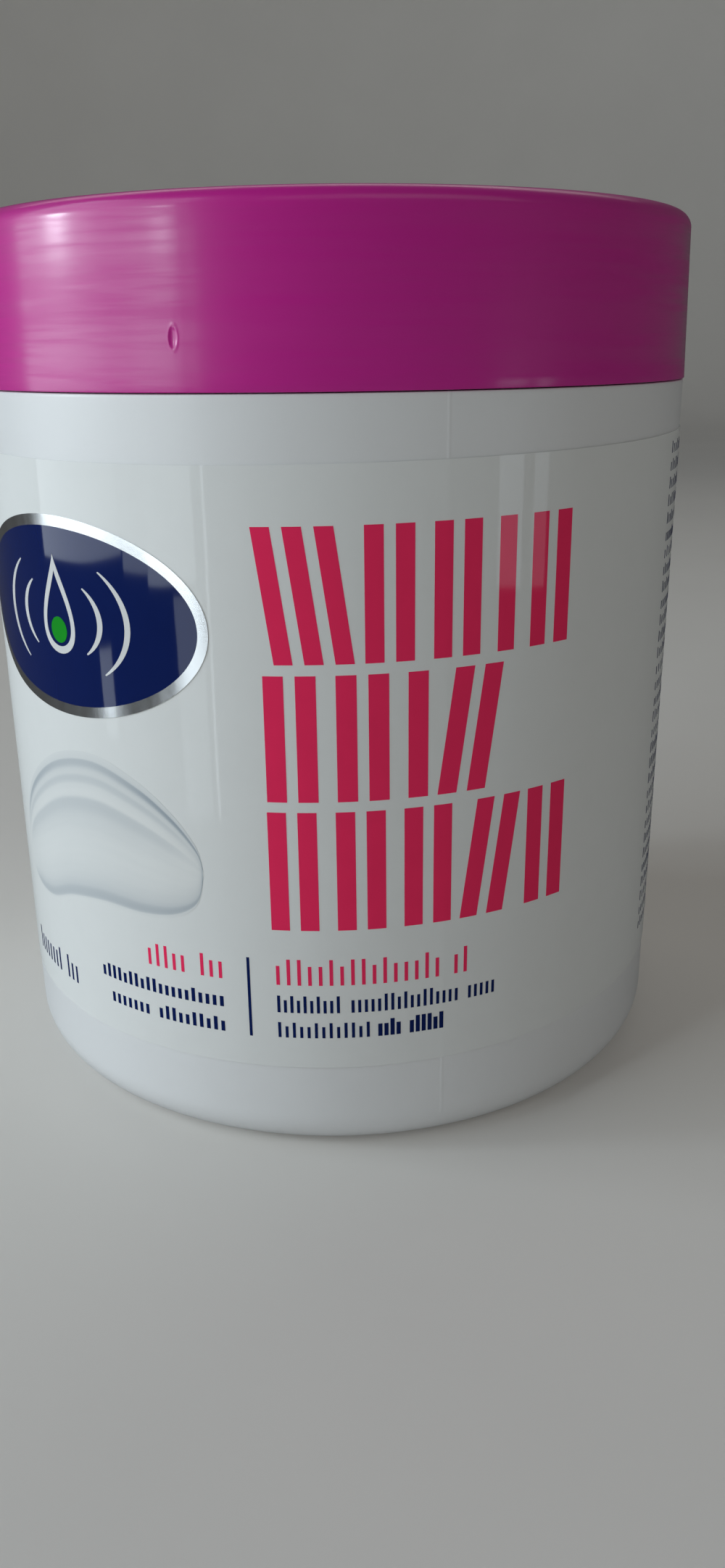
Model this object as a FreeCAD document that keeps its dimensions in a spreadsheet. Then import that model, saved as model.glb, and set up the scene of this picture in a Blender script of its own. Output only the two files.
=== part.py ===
"""Wide-mouth cream jar with a flush screw lid.

The origin is the middle of the foot, +Z is up and the label's front faces -Y.
A bearing is an angle about the jar's axis, counted from -Y towards +X.
"""
import FreeCAD
import Part
import Sketcher
import math
import os
import re

SIZES = [
    # alias, value in millimetres unless the note says otherwise, note
    ("shoulder_height", 88.2, "foot to shoulder"),
    ("body_radius", 44.85, "outside of the body at the shoulder"),
    ("foot_corner_radius", 44.4, "outside of the body at the foot, before rounding"),
    ("foot_rounding", 5.5, "rounding from the wall to the foot"),
    ("foot_ring_radius", 36.0, "inner edge of the ring that the jar stands on"),
    ("base_step", 1.3, "height of the step inside the foot ring"),
    ("base_rise", 2.2, "height of the underside at its middle"),
    ("wall", 1.55, "wall of the body and neck"),
    ("floor_wall", 1.8, "wall of the floor"),
    ("neck_radius", 41.3, "outside of the neck between its threads"),
    ("rim_height", 103.7, "foot to the sealing rim"),
    ("edge_rounding", 0.4, "small rounding of shoulder, rim and lid edges"),
    ("lead_per_turn", 8.0, "rise of the lid in one full turn"),
    ("thread_starts", 2, "count of thread starts"),
    ("thread_root", 2.2, "width of a thread ridge at its root"),
    ("thread_crest", 0.9, "width of a thread ridge at its crest"),
    ("thread_depth", 1.45, "height of a thread ridge"),
    ("thread_sink", 0.3, "how far a ridge runs into the wall behind it"),
    ("neck_thread_low", 92.4, "middle of the neck ridge at its lower end"),
    ("neck_thread_turns", 0.95, "turns of each neck ridge"),
    ("lid_thread_turns", 0.7, "turns of each lid ridge"),
    ("thread_play", 0.3, "gap between loaded flanks, along the axis"),
    ("lid_gap", 0.2, "gap between the shoulder and the lid"),
    ("lid_radius", 45.0, "outside of the lid at its open edge"),
    ("lid_top_radius", 44.6, "outside of the lid at its top, before rounding"),
    ("lid_top_height", 107.0, "foot to the top of the lid"),
    ("lid_rounding", 1.85, "rounding of the lid's top edge"),
    ("lid_bore_radius", 43.2, "inside of the lid's skirt"),
    ("lid_panel_radius", 41.6, "edge of the sunk panel on top"),
    ("lid_panel_depth", 0.5, "depth of the sunk panel on top"),
    ("liner_thickness", 1.2, "foam liner"),
    ("liner_radius", 42.8, "foam liner"),
    ("bead_radius", 42.05, "crest of the bead that holds the liner in"),
    ("bead_width", 0.9, "root width of the bead that holds the liner in"),
    ("liner_play", 0.15, "gap between the liner and the bead"),
    ("dent_bearing", -20.2, "degrees, small dent in the lid's skirt"),
    ("dent_height", 93.5, "foot to the middle of the dent"),
    ("dent_half_width", 0.75, "half width of the dent's ellipsoid"),
    ("dent_half_height", 1.7, "half height of the dent's ellipsoid"),
    ("dent_half_depth", 0.6, "half depth of the dent's ellipsoid"),
    ("dent_depth", 0.25, "how far the dent goes into the skirt"),
    ("label_low", 12.2, "foot to the label's lower edge"),
    ("label_high", 81.5, "foot to the label's upper edge"),
    ("label_film", 0.1, "thickness of the label"),
    ("label_gap", 1.0, "degrees left open between the label's two ends"),
    ("label_gap_bearing", 196.0, "degrees, where that gap is"),
    ("badge_film", 0.08, "thickness of the foil badge"),
    ("badge_bearing", -44.5, "degrees, middle of the foil badge"),
    ("badge_height", 64.2, "foot to the middle of the foil badge"),
    ("badge_half_width", 20.6, "half width of the foil badge, seen square on"),
    ("badge_half_height", 11.4, "half height of the foil badge"),
    ("cream_level", 89.5, "foot to the top of the cream"),
    ("cream_gap", 0.05, "gap between the cream and the wall"),
]

doc = FreeCAD.newDocument("cream_jar")
sheet = doc.addObject("Spreadsheet::Sheet", "Sizes")
for row, (alias, value, note) in enumerate(SIZES, start=1):
    sheet.set(f"A{row}", note)
    sheet.set(f"B{row}", str(value))
    sheet.setAlias(f"B{row}", alias)
doc.recompute()

ALIASES = {alias for alias, value, note in SIZES}
AXIS = FreeCAD.Vector(0, 0, 1)


def bound(formula):
    """The formula with each alias written as a cell of the sheet."""
    return re.sub(r"[a-z_]+", lambda word: f"Sizes.{word[0]}" if word[0] in ALIASES else word[0], formula)


def number(formula):
    """The formula's value now, as a plain number."""
    value = sheet.evalExpression(bound(formula))
    return float(getattr(value, "Value", value))


def plane_of(body, role):
    return next(feature for feature in body.Origin.OriginFeatures if feature.Role == role)


def new_body(name):
    body = doc.addObject("PartDesign::Body", name)
    body.Label = name
    return body


def outline(body, name, points):
    """A closed outline of straight runs on the body's XZ plane; each point is (radius, height) as formulas."""
    sketch = body.newObject("Sketcher::SketchObject", name)
    sketch.AttachmentSupport = [(plane_of(body, "XZ_Plane"), "")]
    sketch.MapMode = "FlatFace"
    places = [FreeCAD.Vector(number(radius), number(height), 0) for radius, height in points]
    count = len(places)
    for index in range(count):
        sketch.addGeometry(Part.LineSegment(places[index], places[(index + 1) % count]))
    for index in range(count):
        sketch.addConstraint(Sketcher.Constraint("Coincident", index, 2, (index + 1) % count, 1))
    for index, (radius, height) in enumerate(points):
        pin_down(sketch, index, "DistanceX", radius)
        pin_down(sketch, index, "DistanceY", height)
    return sketch


def pin_down(sketch, index, direction, formula):
    """Binds one coordinate of a line's start to the sheet, or sets the point on an axis where it is 0."""
    if formula == "0":
        axis = -2 if direction == "DistanceX" else -1
        sketch.addConstraint(Sketcher.Constraint("PointOnObject", index, 1, axis))
        return
    constraint = sketch.addConstraint(Sketcher.Constraint(direction, -1, 1, index, 1, number(formula)))
    sketch.setExpression(f"Constraints[{constraint}]", bound(formula))


def revolve(body, name, points, angle=None):
    """Turns an outline about the jar's axis."""
    sketch = outline(body, name + "_outline", points)
    turned = body.newObject("PartDesign::Revolution", name)
    turned.Profile = sketch
    turned.ReferenceAxis = (sketch, ["V_Axis"])
    turned.Angle = 360
    if angle:
        turned.setExpression("Angle", bound(angle))
    doc.recompute()
    return turned


def ring_edges(feature, places):
    """Names of the circular edges at the given (radius, height) formulas."""
    wanted = [(number(radius), number(height)) for radius, height in places]
    names = []
    for index, edge in enumerate(feature.Shape.Edges, start=1):
        if not isinstance(edge.Curve, Part.Circle):
            continue
        here = (edge.Curve.Radius, edge.Curve.Center.z)
        if any(math.dist(here, place) < 0.01 for place in wanted):
            names.append(f"Edge{index}")
    return names


def round_rings(body, name, feature, places, radius):
    """Rounds circular edges."""
    fillet = body.newObject("PartDesign::Fillet", name)
    fillet.Base = (feature, ring_edges(feature, places))
    fillet.setExpression("Radius", bound(radius))
    doc.recompute()
    return fillet


def thread(body, name, root, crest, middle, turns):
    """A helical ridge from a root radius to a crest radius, once for each start."""
    points = [
        (root, f"{middle} - thread_root / 2"),
        (crest, f"{middle} - thread_crest / 2"),
        (crest, f"{middle} + thread_crest / 2"),
        (root, f"{middle} + thread_root / 2"),
    ]
    sketch = outline(body, name + "_ridge", points)
    helix = body.newObject("PartDesign::AdditiveHelix", name)
    helix.Profile = sketch
    helix.ReferenceAxis = (sketch, ["V_Axis"])
    helix.Mode = "pitch-turns-angle"
    helix.setExpression("Pitch", bound("lead_per_turn"))
    helix.setExpression("Turns", bound(turns))
    doc.recompute()
    starts = body.newObject("PartDesign::PolarPattern", name + "_starts")
    starts.Originals = [helix]
    starts.Axis = (sketch, ["V_Axis"])
    starts.Angle = 360
    starts.setExpression("Occurrences", bound("thread_starts"))
    body.Tip = starts
    doc.recompute()
    return starts


def make_jar_body():
    """White moulded body: foot ring, drawn-in base, drafted wall, shoulder and threaded neck."""
    body = new_body("jar_body")
    inside_low = "foot_corner_radius - wall"
    inside_high = "body_radius - wall"
    points = [
        ("0", "base_rise"),
        ("foot_ring_radius - base_step / 2", "base_step"),
        ("foot_ring_radius", "0"),
        ("foot_corner_radius", "0"),
        ("body_radius", "shoulder_height"),
        ("neck_radius", "shoulder_height"),
        ("neck_radius", "rim_height"),
        ("neck_radius - wall", "rim_height"),
        ("neck_radius - wall", "shoulder_height - wall / 2"),
        (inside_high, "shoulder_height - 2 * wall"),
        (inside_low, "floor_wall"),
        ("foot_ring_radius + wall / 2", "floor_wall"),
        ("foot_ring_radius - base_step / 2", "base_step + floor_wall"),
        ("0", "base_rise + floor_wall"),
    ]
    blank = revolve(body, "blown_blank", points)
    foot = round_rings(body, "foot_corner", blank, [("foot_corner_radius", "0")], "foot_rounding")
    inner = round_rings(body, "floor_corner", foot, [(inside_low, "floor_wall")], "foot_rounding - wall")
    edges = [
        ("body_radius", "shoulder_height"),
        ("neck_radius", "shoulder_height"),
        ("neck_radius", "rim_height"),
        ("neck_radius - wall", "rim_height"),
    ]
    round_rings(body, "shoulder_and_rim", inner, edges, "edge_rounding")
    thread(
        body,
        "neck_thread",
        "neck_radius - thread_sink",
        "neck_radius + thread_depth",
        "neck_thread_low",
        "neck_thread_turns",
    )
    return body


def make_lid_shell():
    """Lid: drafted skirt, sunk top panel, bead under the liner and a thread that matches the neck's."""
    body = new_body("lid_shell")
    open_edge = "shoulder_height + lid_gap"
    ceiling = "rim_height + liner_thickness"
    bead_top = "rim_height - liner_play"
    points = [
        ("0", "lid_top_height - lid_panel_depth"),
        ("lid_panel_radius", "lid_top_height - lid_panel_depth"),
        ("lid_panel_radius + lid_panel_depth", "lid_top_height"),
        ("lid_top_radius", "lid_top_height"),
        ("lid_radius", open_edge),
        ("lid_bore_radius + edge_rounding", open_edge),
        ("lid_bore_radius", f"{open_edge} + 2 * edge_rounding"),
        ("lid_bore_radius", f"{bead_top} - bead_width"),
        ("bead_radius", f"{bead_top} - bead_width / 2"),
        ("bead_radius", f"{bead_top} - bead_width / 6"),
        ("lid_bore_radius", bead_top),
        ("lid_bore_radius", ceiling),
        ("0", ceiling),
    ]
    blank = revolve(body, "moulded_lid", points)
    top = round_rings(body, "top_edge", blank, [("lid_top_radius", "lid_top_height")], "lid_rounding")
    round_rings(body, "open_edge", top, [("lid_radius", open_edge)], "edge_rounding / 2")
    flank_slope = "(thread_root - thread_crest) / 2 / (thread_depth + thread_sink)"
    flank_room = f"thread_root - {flank_slope} * (lid_bore_radius - neck_radius + 2 * thread_sink)"
    thread(
        body,
        "lid_thread",
        "lid_bore_radius + thread_sink",
        "lid_bore_radius - thread_depth",
        f"neck_thread_low - ({flank_room}) - thread_play",
        "lid_thread_turns",
    )
    return body


def press_dent(body):
    """A small upright dent in the lid's skirt, cut by an ellipsoid that stands mostly outside it."""
    dent = body.newObject("PartDesign::SubtractiveEllipsoid", "skirt_dent")
    dent.setExpression("Radius2", bound("dent_half_depth"))
    dent.setExpression("Radius3", bound("dent_half_width"))
    dent.setExpression("Radius1", bound("dent_half_height"))
    dent.AttachmentSupport = [(plane_of(body, "XY_Plane"), "")]
    dent.MapMode = "FlatFace"
    bearing = math.radians(number("dent_bearing"))
    reach = number("lid_radius + dent_half_depth - dent_depth")
    place = FreeCAD.Vector(reach * math.sin(bearing), -reach * math.cos(bearing), number("dent_height"))
    turn = FreeCAD.Rotation(AXIS, number("dent_bearing") - 90)
    dent.AttachmentOffset = FreeCAD.Placement(place, turn)
    body.Tip = dent
    doc.recompute()


def make_lid_liner():
    """Foam disc that seals on the rim and lies loose above the lid's bead."""
    body = new_body("lid_liner")
    ceiling = "rim_height + liner_thickness"
    points = [("0", "rim_height"), ("liner_radius", "rim_height"), ("liner_radius", ceiling), ("0", ceiling)]
    revolve(body, "punched_disc", points)
    return body


def wall_radius(height):
    """The outside of the drafted body wall at a height, as a formula."""
    return f"(foot_corner_radius + (body_radius - foot_corner_radius) * {height} / shoulder_height)"


def make_wrap_label():
    """Film label that goes once round the body, with a narrow gap where its two ends meet."""
    body = new_body("wrap_label")
    points = [
        (wall_radius("label_low"), "label_low"),
        (f"{wall_radius('label_low')} + label_film", "label_low"),
        (f"{wall_radius('label_high')} + label_film", "label_high"),
        (wall_radius("label_high"), "label_high"),
    ]
    revolve(body, "wrapped_film", points, angle="360 - label_gap")
    body.Placement = FreeCAD.Placement(
        FreeCAD.Vector(),
        FreeCAD.Rotation(AXIS, number("label_gap_bearing + label_gap / 2 - 90")),
    )
    return body


def make_badge_foil():
    """Oval foil badge that follows the label's curve."""
    oval = doc.addObject("Part::Ellipse", "badge_oval")
    oval.setExpression("MajorRadius", bound("badge_half_width"))
    oval.setExpression("MinorRadius", bound("badge_half_height"))
    bearing = number("badge_bearing")
    outward = FreeCAD.Rotation(AXIS, bearing).multVec(FreeCAD.Vector(0, -1, 0))
    upright = FreeCAD.Rotation(FreeCAD.Vector(1, 0, 0), 90)
    oval.Placement = FreeCAD.Placement(
        FreeCAD.Vector(0, 0, number("badge_height")),
        FreeCAD.Rotation(AXIS, bearing) * upright,
    )
    punch = doc.addObject("Part::Extrusion", "badge_punch")
    punch.Base = oval
    punch.DirMode = "Custom"
    punch.Dir = outward
    punch.Solid = True
    punch.setExpression("LengthFwd", bound("2 * body_radius"))
    skins = []
    for name, lift in (("badge_outside", "label_film + badge_film"), ("badge_inside", "label_film")):
        cone = doc.addObject("Part::Cone", name)
        cone.setExpression("Radius1", bound(f"foot_corner_radius + {lift}"))
        cone.setExpression("Radius2", bound(f"body_radius + {lift}"))
        cone.setExpression("Height", bound("shoulder_height"))
        skins.append(cone)
    film = doc.addObject("Part::Cut", "badge_film_blank")
    film.Base, film.Tool = skins
    foil = doc.addObject("Part::Common", "badge_foil")
    foil.Base = film
    foil.Tool = punch
    foil.Label = "badge_foil"
    doc.recompute()
    return foil


def make_cream_fill():
    """The cream, a plain solid that fills the body and the lower neck."""
    body = new_body("cream_fill")
    low = "floor_wall + cream_gap"
    inside_low = "foot_corner_radius - wall - cream_gap"
    inside_high = "body_radius - wall - cream_gap"
    inside_neck = "neck_radius - wall - cream_gap"
    points = [
        ("0", "base_rise + floor_wall + cream_gap"),
        ("foot_ring_radius - base_step / 2", "base_step + floor_wall + cream_gap"),
        ("foot_ring_radius + wall / 2 + cream_gap", low),
        (inside_low, low),
        (inside_high, "shoulder_height - 2 * wall - cream_gap"),
        (inside_neck, "shoulder_height - wall / 2 - cream_gap"),
        (inside_neck, "cream_level"),
        ("0", "cream_level"),
    ]
    filled = revolve(body, "filled_cream", points)
    round_rings(body, "cream_corner", filled, [(inside_low, low)], "foot_rounding - wall")
    return body


def check_and_write(pieces):
    """Stops on any failed object, then writes one STEP file for each piece."""
    doc.recompute()
    for item in doc.Objects:
        if {"Invalid", "Error"} & set(item.State):
            raise RuntimeError(f"{item.Name} failed: {item.State}")
    for piece in pieces:
        if piece.Shape.isNull() or not piece.Shape.isValid():
            raise RuntimeError(f"{piece.Label} has no valid shape")
    os.makedirs("parts", exist_ok=True)
    for piece in pieces:
        piece.Shape.exportStep(f"parts/{piece.Label}.step")
        print(f"{piece.Label}: {len(piece.Shape.Solids)} solid, {piece.Shape.Volume / 1000:.2f} ml")


jar = make_jar_body()
lid = make_lid_shell()
press_dent(lid)
check_and_write([jar, lid, make_lid_liner(), make_wrap_label(), make_badge_foil(), make_cream_fill()])
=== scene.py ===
"""Looks of a cream jar: moulded body, screw lid, liner, wrap label, foil badge, print and cream."""
import math
import random

import bpy
from bpy.props import FloatProperty, FloatVectorProperty, IntProperty, PointerProperty
from mathutils import Matrix, Vector


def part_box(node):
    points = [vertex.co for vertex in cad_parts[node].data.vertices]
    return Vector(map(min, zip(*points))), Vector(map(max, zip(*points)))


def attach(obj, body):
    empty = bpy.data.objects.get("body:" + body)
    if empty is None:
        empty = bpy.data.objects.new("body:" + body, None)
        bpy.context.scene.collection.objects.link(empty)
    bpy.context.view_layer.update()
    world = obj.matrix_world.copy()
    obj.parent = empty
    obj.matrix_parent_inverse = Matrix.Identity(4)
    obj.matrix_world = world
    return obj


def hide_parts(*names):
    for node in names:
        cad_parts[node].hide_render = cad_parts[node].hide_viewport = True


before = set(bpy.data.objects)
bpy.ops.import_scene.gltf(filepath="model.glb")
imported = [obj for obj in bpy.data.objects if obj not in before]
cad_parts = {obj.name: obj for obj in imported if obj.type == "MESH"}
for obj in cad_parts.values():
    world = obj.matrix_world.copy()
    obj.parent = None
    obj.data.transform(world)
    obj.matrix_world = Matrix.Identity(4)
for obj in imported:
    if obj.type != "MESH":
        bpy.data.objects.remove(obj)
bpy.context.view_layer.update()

bl_info = {
    "name": "Cream Jar",
    "version": (1, 0, 0),
    "blender": (4, 5, 0),
    "location": "View3D > Sidebar > Cream Jar",
    "description": "Builds the surfaces, print and stage of a screw-lid cream jar round its CAD frame",
    "category": "Object",
}

MM = 0.001
JAR_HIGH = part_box("jar_body")[1]
LID_LOW, LID_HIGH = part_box("lid_shell")
LINER_LOW, LINER_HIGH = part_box("lid_liner")
LABEL_LOW, LABEL_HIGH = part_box("wrap_label")
CREAM_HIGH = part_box("cream_fill")[1]
FULL_TURN = 2 * math.pi
TURN_STEP = math.radians(1.25)  # between neighbouring bearings of a turned piece
LEAST_STEP = 0.0004  # bearings closer than this become one
SHARP_ANGLE = math.radians(38)  # sharper edges are shaded crisp
GLOSS_LABEL = 0.48
GLOSS_BADGE = 1.0
GLOSS_ROUGHNESS = 0.045
FILM_GAP = 0.005 * MM  # between the wall and the label
PRINT_GAP = 0.004 * MM  # under each layer that lies on the label or the badge
LID_DROP = 0.08 * MM  # how far the skirt is drawn past its CAD edge, for a finer gap


# --- Sizes, colours and stage settings -------------------------------------------------------


def length(name, default_mm, description):
    return FloatProperty(name=name, description=description, default=default_mm * MM, unit="LENGTH")


def number(name, default, description):
    return FloatProperty(name=name, description=description, default=default)


def bearing(name, default_degrees, description):
    return FloatProperty(
        name=name, description=description, default=math.radians(default_degrees), subtype="ANGLE"
    )


def colour(name, default, description):
    return FloatVectorProperty(
        name=name, description=description, default=default, subtype="COLOR", size=3, min=0, max=1
    )


class JarSizes(bpy.types.PropertyGroup):
    """Sizes of the moulded body and the cream in it."""

    shoulder_height: length("Shoulder height", 88.2, "Foot to shoulder")
    foot_corner_radius: length("Foot radius", 44.4, "Wall radius carried down to the foot")
    foot_rounding: length("Foot rounding", 5.5, "Rounding from the wall to the foot")
    foot_ring_radius: length("Foot ring", 36.0, "Inner edge of the ring that the jar stands on")
    base_step: length("Base step", 1.3, "Height of the step inside the foot ring")
    base_rise: length("Base rise", 2.2, "Height of the underside at its middle")
    wall: length("Wall", 1.55, "Thickness of the body and neck")
    floor_wall: length("Floor", 1.8, "Thickness of the floor")
    neck_radius: length("Neck radius", 41.3, "Outside of the neck between its threads")
    edge_rounding: length("Edge rounding", 0.4, "Rounding of the shoulder and rim")
    parting_bearing: bearing("Parting line", 15.1, "Bearing of the mould's parting line")
    parting_height: length("Parting ridge", 0.03, "How far the parting line stands out")
    parting_half_width: length("Parting half width", 0.16, "Half width of the parting line")
    swirl_height: length("Swirl height", 1.5, "Height of the cream's swirl")


class ThreadSizes(bpy.types.PropertyGroup):
    """Sizes shared by the neck's and the lid's threads."""

    lead: length("Lead", 8.0, "Rise in one full turn")
    starts: IntProperty(name="Starts", description="Count of thread starts", default=2)
    root: length("Root width", 2.2, "Width of a ridge at its root")
    crest: length("Crest width", 0.9, "Width of a ridge at its crest")
    depth: length("Depth", 1.45, "Height of a ridge")
    sink: length("Sink", 0.25, "How far a ridge runs into its wall")
    neck_low: length("Neck thread", 92.4, "Middle of the neck ridge at its lower end")
    neck_turns: number("Neck turns", 0.95, "Turns of a neck ridge")
    lid_low: length("Lid thread", 90.83, "Middle of the lid ridge at its lower end")
    lid_turns: number("Lid turns", 0.7, "Turns of a lid ridge")


class LidSizes(bpy.types.PropertyGroup):
    """Sizes of the lid."""

    top_radius: length("Top radius", 44.6, "Outside of the lid at its top, before rounding")
    rounding: length("Top rounding", 1.85, "Rounding of the lid's top edge")
    bore_radius: length("Bore radius", 43.2, "Inside of the skirt")
    panel_radius: length("Panel radius", 41.6, "Edge of the sunk panel on top")
    panel_depth: length("Panel depth", 0.5, "Depth of the sunk panel on top")
    bead_radius: length("Bead radius", 42.05, "Crest of the bead under the liner")
    bead_width: length("Bead width", 0.9, "Root width of the bead under the liner")
    liner_play: length("Liner play", 0.15, "Gap between the liner and the bead")
    dent_bearing: bearing("Dent bearing", -20.2, "Bearing of the small dent")
    dent_height: length("Dent height", 93.5, "Foot to the middle of the dent")
    dent_half_width: length("Dent half width", 0.45, "Half width of the dent")
    dent_half_height: length("Dent half height", 1.0, "Half height of the dent")
    dent_depth: length("Dent depth", 0.11, "Depth of the dent")


class LabelSizes(bpy.types.PropertyGroup):
    """Sizes and places of the label, its print and its badge."""

    film: length("Film", 0.1, "Thickness of the label film")
    ink: length("Ink", 0.02, "Thickness of a printed layer")
    tilt: length("Tilt", 0.94, "How far the askew label rises and falls round the jar")
    tilt_bearing: bearing("Tilt bearing", 52.0, "Bearing where the askew label crosses level, rising")
    ridge_share: number("Ridge share", 0.5, "How much of the parting line shows")
    ridge_half_width: length("Ridge half width", 0.5, "Half width of the parting line under the film")
    seam_bearing: bearing("Seam", -164.0, "Bearing of the label's overlap")
    seam_overlap: bearing("Overlap", 2.6, "How far one end laps over the other")
    bar_lean: length("Bar lean", 2.0, "How far the top of a leaning bar lies from its foot")
    bar_gap: length("Bar gap", 1.25, "Gap between bars of one group")
    group_gap: length("Group gap", 2.1, "Gap between groups of bars")
    badge_bearing: bearing("Badge bearing", -44.5, "Bearing of the badge's middle")
    badge_height: length("Badge height", 64.2, "Foot to the middle of the badge")
    badge_half_width: length("Badge half width", 21.1, "Half width of the badge along the wall")
    badge_half_height: length("Badge half height", 11.4, "Half height of the badge")
    badge_film: length("Badge film", 0.08, "Thickness of the badge's foil")
    badge_rim: length("Badge rim", 1.25, "Width of the bare foil round the badge")


class JarColours(bpy.types.PropertyGroup):
    """Colours of the jar's materials."""

    white_moulding: colour("White moulding", (0.80, 0.81, 0.82), "Body plastic")
    label_white: colour("Label white", (0.775, 0.79, 0.785), "Label film")
    magenta: colour("Magenta", (0.58, 0.010, 0.29), "Lid plastic")
    crimson: colour("Crimson", (0.90, 0.032, 0.125), "Bold print")
    navy: colour("Navy", (0.003, 0.012, 0.09), "Small print and badge")
    green: colour("Green", (0.01, 0.30, 0.02), "Badge accent")
    foil: colour("Foil", (0.86, 0.87, 0.88), "Badge foil")
    liner: colour("Liner", (0.80, 0.80, 0.77), "Foam liner")
    cream: colour("Cream", (0.86, 0.82, 0.76), "Cream")
    smear_shade: colour("Smear shade", (0.34, 0.39, 0.44), "Shadows of the printed cream")
    floor: colour("Floor", (0.76, 0.74, 0.71), "Floor")
    sky: colour("Sky", (0.98, 1.0, 1.0), "Light from all round")
    daylight: colour("Daylight", (0.84, 0.94, 1.0), "Lights on the left")
    evening: colour("Evening light", (0.82, 0.90, 1.0), "Lights on the right")
    lamplight: colour("Lamplight", (1.0, 0.96, 0.89), "High lights in front and behind")


class StageSettings(bpy.types.PropertyGroup):
    """Camera and light."""

    camera_distance: length("Camera distance", 172.7, "Axis of the jar to the camera")
    camera_height: length("Camera height", 92.6, "Floor to the camera")
    camera_lens: number("Lens", 28.7, "Focal length in millimetres")
    camera_turn: bearing("Camera turn", 1.12, "How far the camera looks to the right")
    camera_dip: bearing("Camera dip", 19.35, "How far the camera looks down")
    camera_roll: bearing("Camera roll", 0.75, "How far the camera leans")
    light_distance: length("Light distance", 800, "Axis of the jar to each light")
    window_strength: number("Windows", 3.15, "Brightness of the left lights")
    side_strength: number("Side lights", 2.0, "Brightness of the right lights")
    back_strength: number("Back light", 0.9, "Brightness of the high back light")
    fill_strength: number("Fill", 0.38, "Brightness of the high front light")
    sky_strength: number("Sky", 0.06, "Brightness all round")
    floor_glow: number("Floor glow", 0.04, "Evens out the backdrop's light")
    floor_reach: length("Floor reach", 1300, "Radius of the level floor")
    floor_bend: length("Floor bend", 500, "Radius of the curve from the floor to the backdrop")
    wall_height: length("Wall height", 1200, "Height of the backdrop that the floor curves up into")


GROUPS = {
    "cream_jar_body": JarSizes,
    "cream_jar_thread": ThreadSizes,
    "cream_jar_lid": LidSizes,
    "cream_jar_label": LabelSizes,
    "cream_jar_colours": JarColours,
    "cream_jar_stage": StageSettings,
}


def settings(name):
    return getattr(bpy.context.scene, "cream_jar_" + name)


# --- Shader building --------------------------------------------------------------------------


class Wire:
    """A socket that takes part in sums: each operator adds its Math node."""

    def __init__(self, finish, socket):
        self.finish = finish
        self.socket = socket

    def combine(self, operation, first, second):
        return self.finish.node("ShaderNodeMath", {"operation": operation}, {0: first, 1: second})

    def __add__(self, other):
        return self.combine("ADD", self, other)

    def __radd__(self, other):
        return self.combine("ADD", other, self)

    def __sub__(self, other):
        return self.combine("SUBTRACT", self, other)

    def __rsub__(self, other):
        return self.combine("SUBTRACT", other, self)

    def __mul__(self, other):
        return self.combine("MULTIPLY", self, other)

    def __rmul__(self, other):
        return self.combine("MULTIPLY", other, self)


class Finish:
    """One material: a Principled shader and the nodes that feed it."""

    def __init__(self, name, **constants):
        self.material = bpy.data.materials.new(name)
        self.material.use_nodes = True
        self.nodes = self.material.node_tree.nodes
        self.links = self.material.node_tree.links
        self.nodes.clear()
        constants = {title.replace("_", " "): value for title, value in constants.items()}
        surface = self.node("ShaderNodeBsdfPrincipled", None, constants)
        self.shader = surface.socket.node
        self.node("ShaderNodeOutputMaterial", None, {"Surface": surface})

    def feed(self, socket, value):
        if isinstance(value, Wire):
            self.links.new(value.socket, socket)
        elif socket.type == "RGBA" and len(value) == 3:
            socket.default_value = (*value, 1)
        else:
            socket.default_value = value

    def node(self, kind, choices=None, inputs=None, output=0):
        """Adds any node: its settings first, a curve's stops among them, then its sockets."""
        made = self.nodes.new(kind)
        for title, value in (choices or {}).items():
            if title == "stops":
                self.set_stops(made.mapping, value)
            else:
                setattr(made, title, value)
        for title, value in (inputs or {}).items():
            self.feed(made.inputs[title], value)
        return Wire(self, made.outputs[output]) if made.outputs else None

    def set_stops(self, mapping, stops):
        points = mapping.curves[0].points
        for _ in range(len(stops) - len(points)):
            points.new(0.5, 0.5)
        for point, (position, value) in zip(points, stops):
            point.location = (position, value)
        mapping.update()

    def ramp(self, factor, stops):
        """A smooth scale of numbers: stops are (position, value)."""
        return self.node("ShaderNodeFloatCurve", {"stops": stops}, {"Value": factor})

    def place(self, output="Object"):
        return self.node("ShaderNodeTexCoord", output=output)

    def stretch(self, vector, scale):
        return self.node("ShaderNodeVectorMath", {"operation": "MULTIPLY"}, {0: vector, 1: scale})

    def noise(self, vector, scale, detail=3.0, roughness=0.5):
        inputs = {"Vector": vector, "Scale": scale, "Detail": detail, "Roughness": roughness}
        return self.node("ShaderNodeTexNoise", None, inputs, "Fac")

    def mix(self, factor, first, second):
        choices = {"data_type": "RGBA"}
        return self.node("ShaderNodeMix", choices, {0: factor, 6: first, 7: second}, 2)

    def base(self, value):
        self.feed(self.shader.inputs["Base Color"], value)

    def rough(self, value):
        self.feed(self.shader.inputs["Roughness"], value)

    def coat(self, value):
        self.feed(self.shader.inputs["Coat Weight"], value)

    def cloudy(self, position, rgb, scale, low, high=1.0, detail=3.0):
        """A base colour that drifts between two shades."""
        cloud = self.noise(position, scale, detail)
        self.base(self.mix(cloud, shade(rgb, low), shade(rgb, high)))

    def bump(self, height, distance):
        inputs = {"Height": height, "Distance": distance, "Strength": 1.0}
        self.feed(self.shader.inputs["Normal"], self.node("ShaderNodeBump", None, inputs))


def shade(rgb, factor):
    return tuple(channel * factor for channel in rgb)


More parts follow.
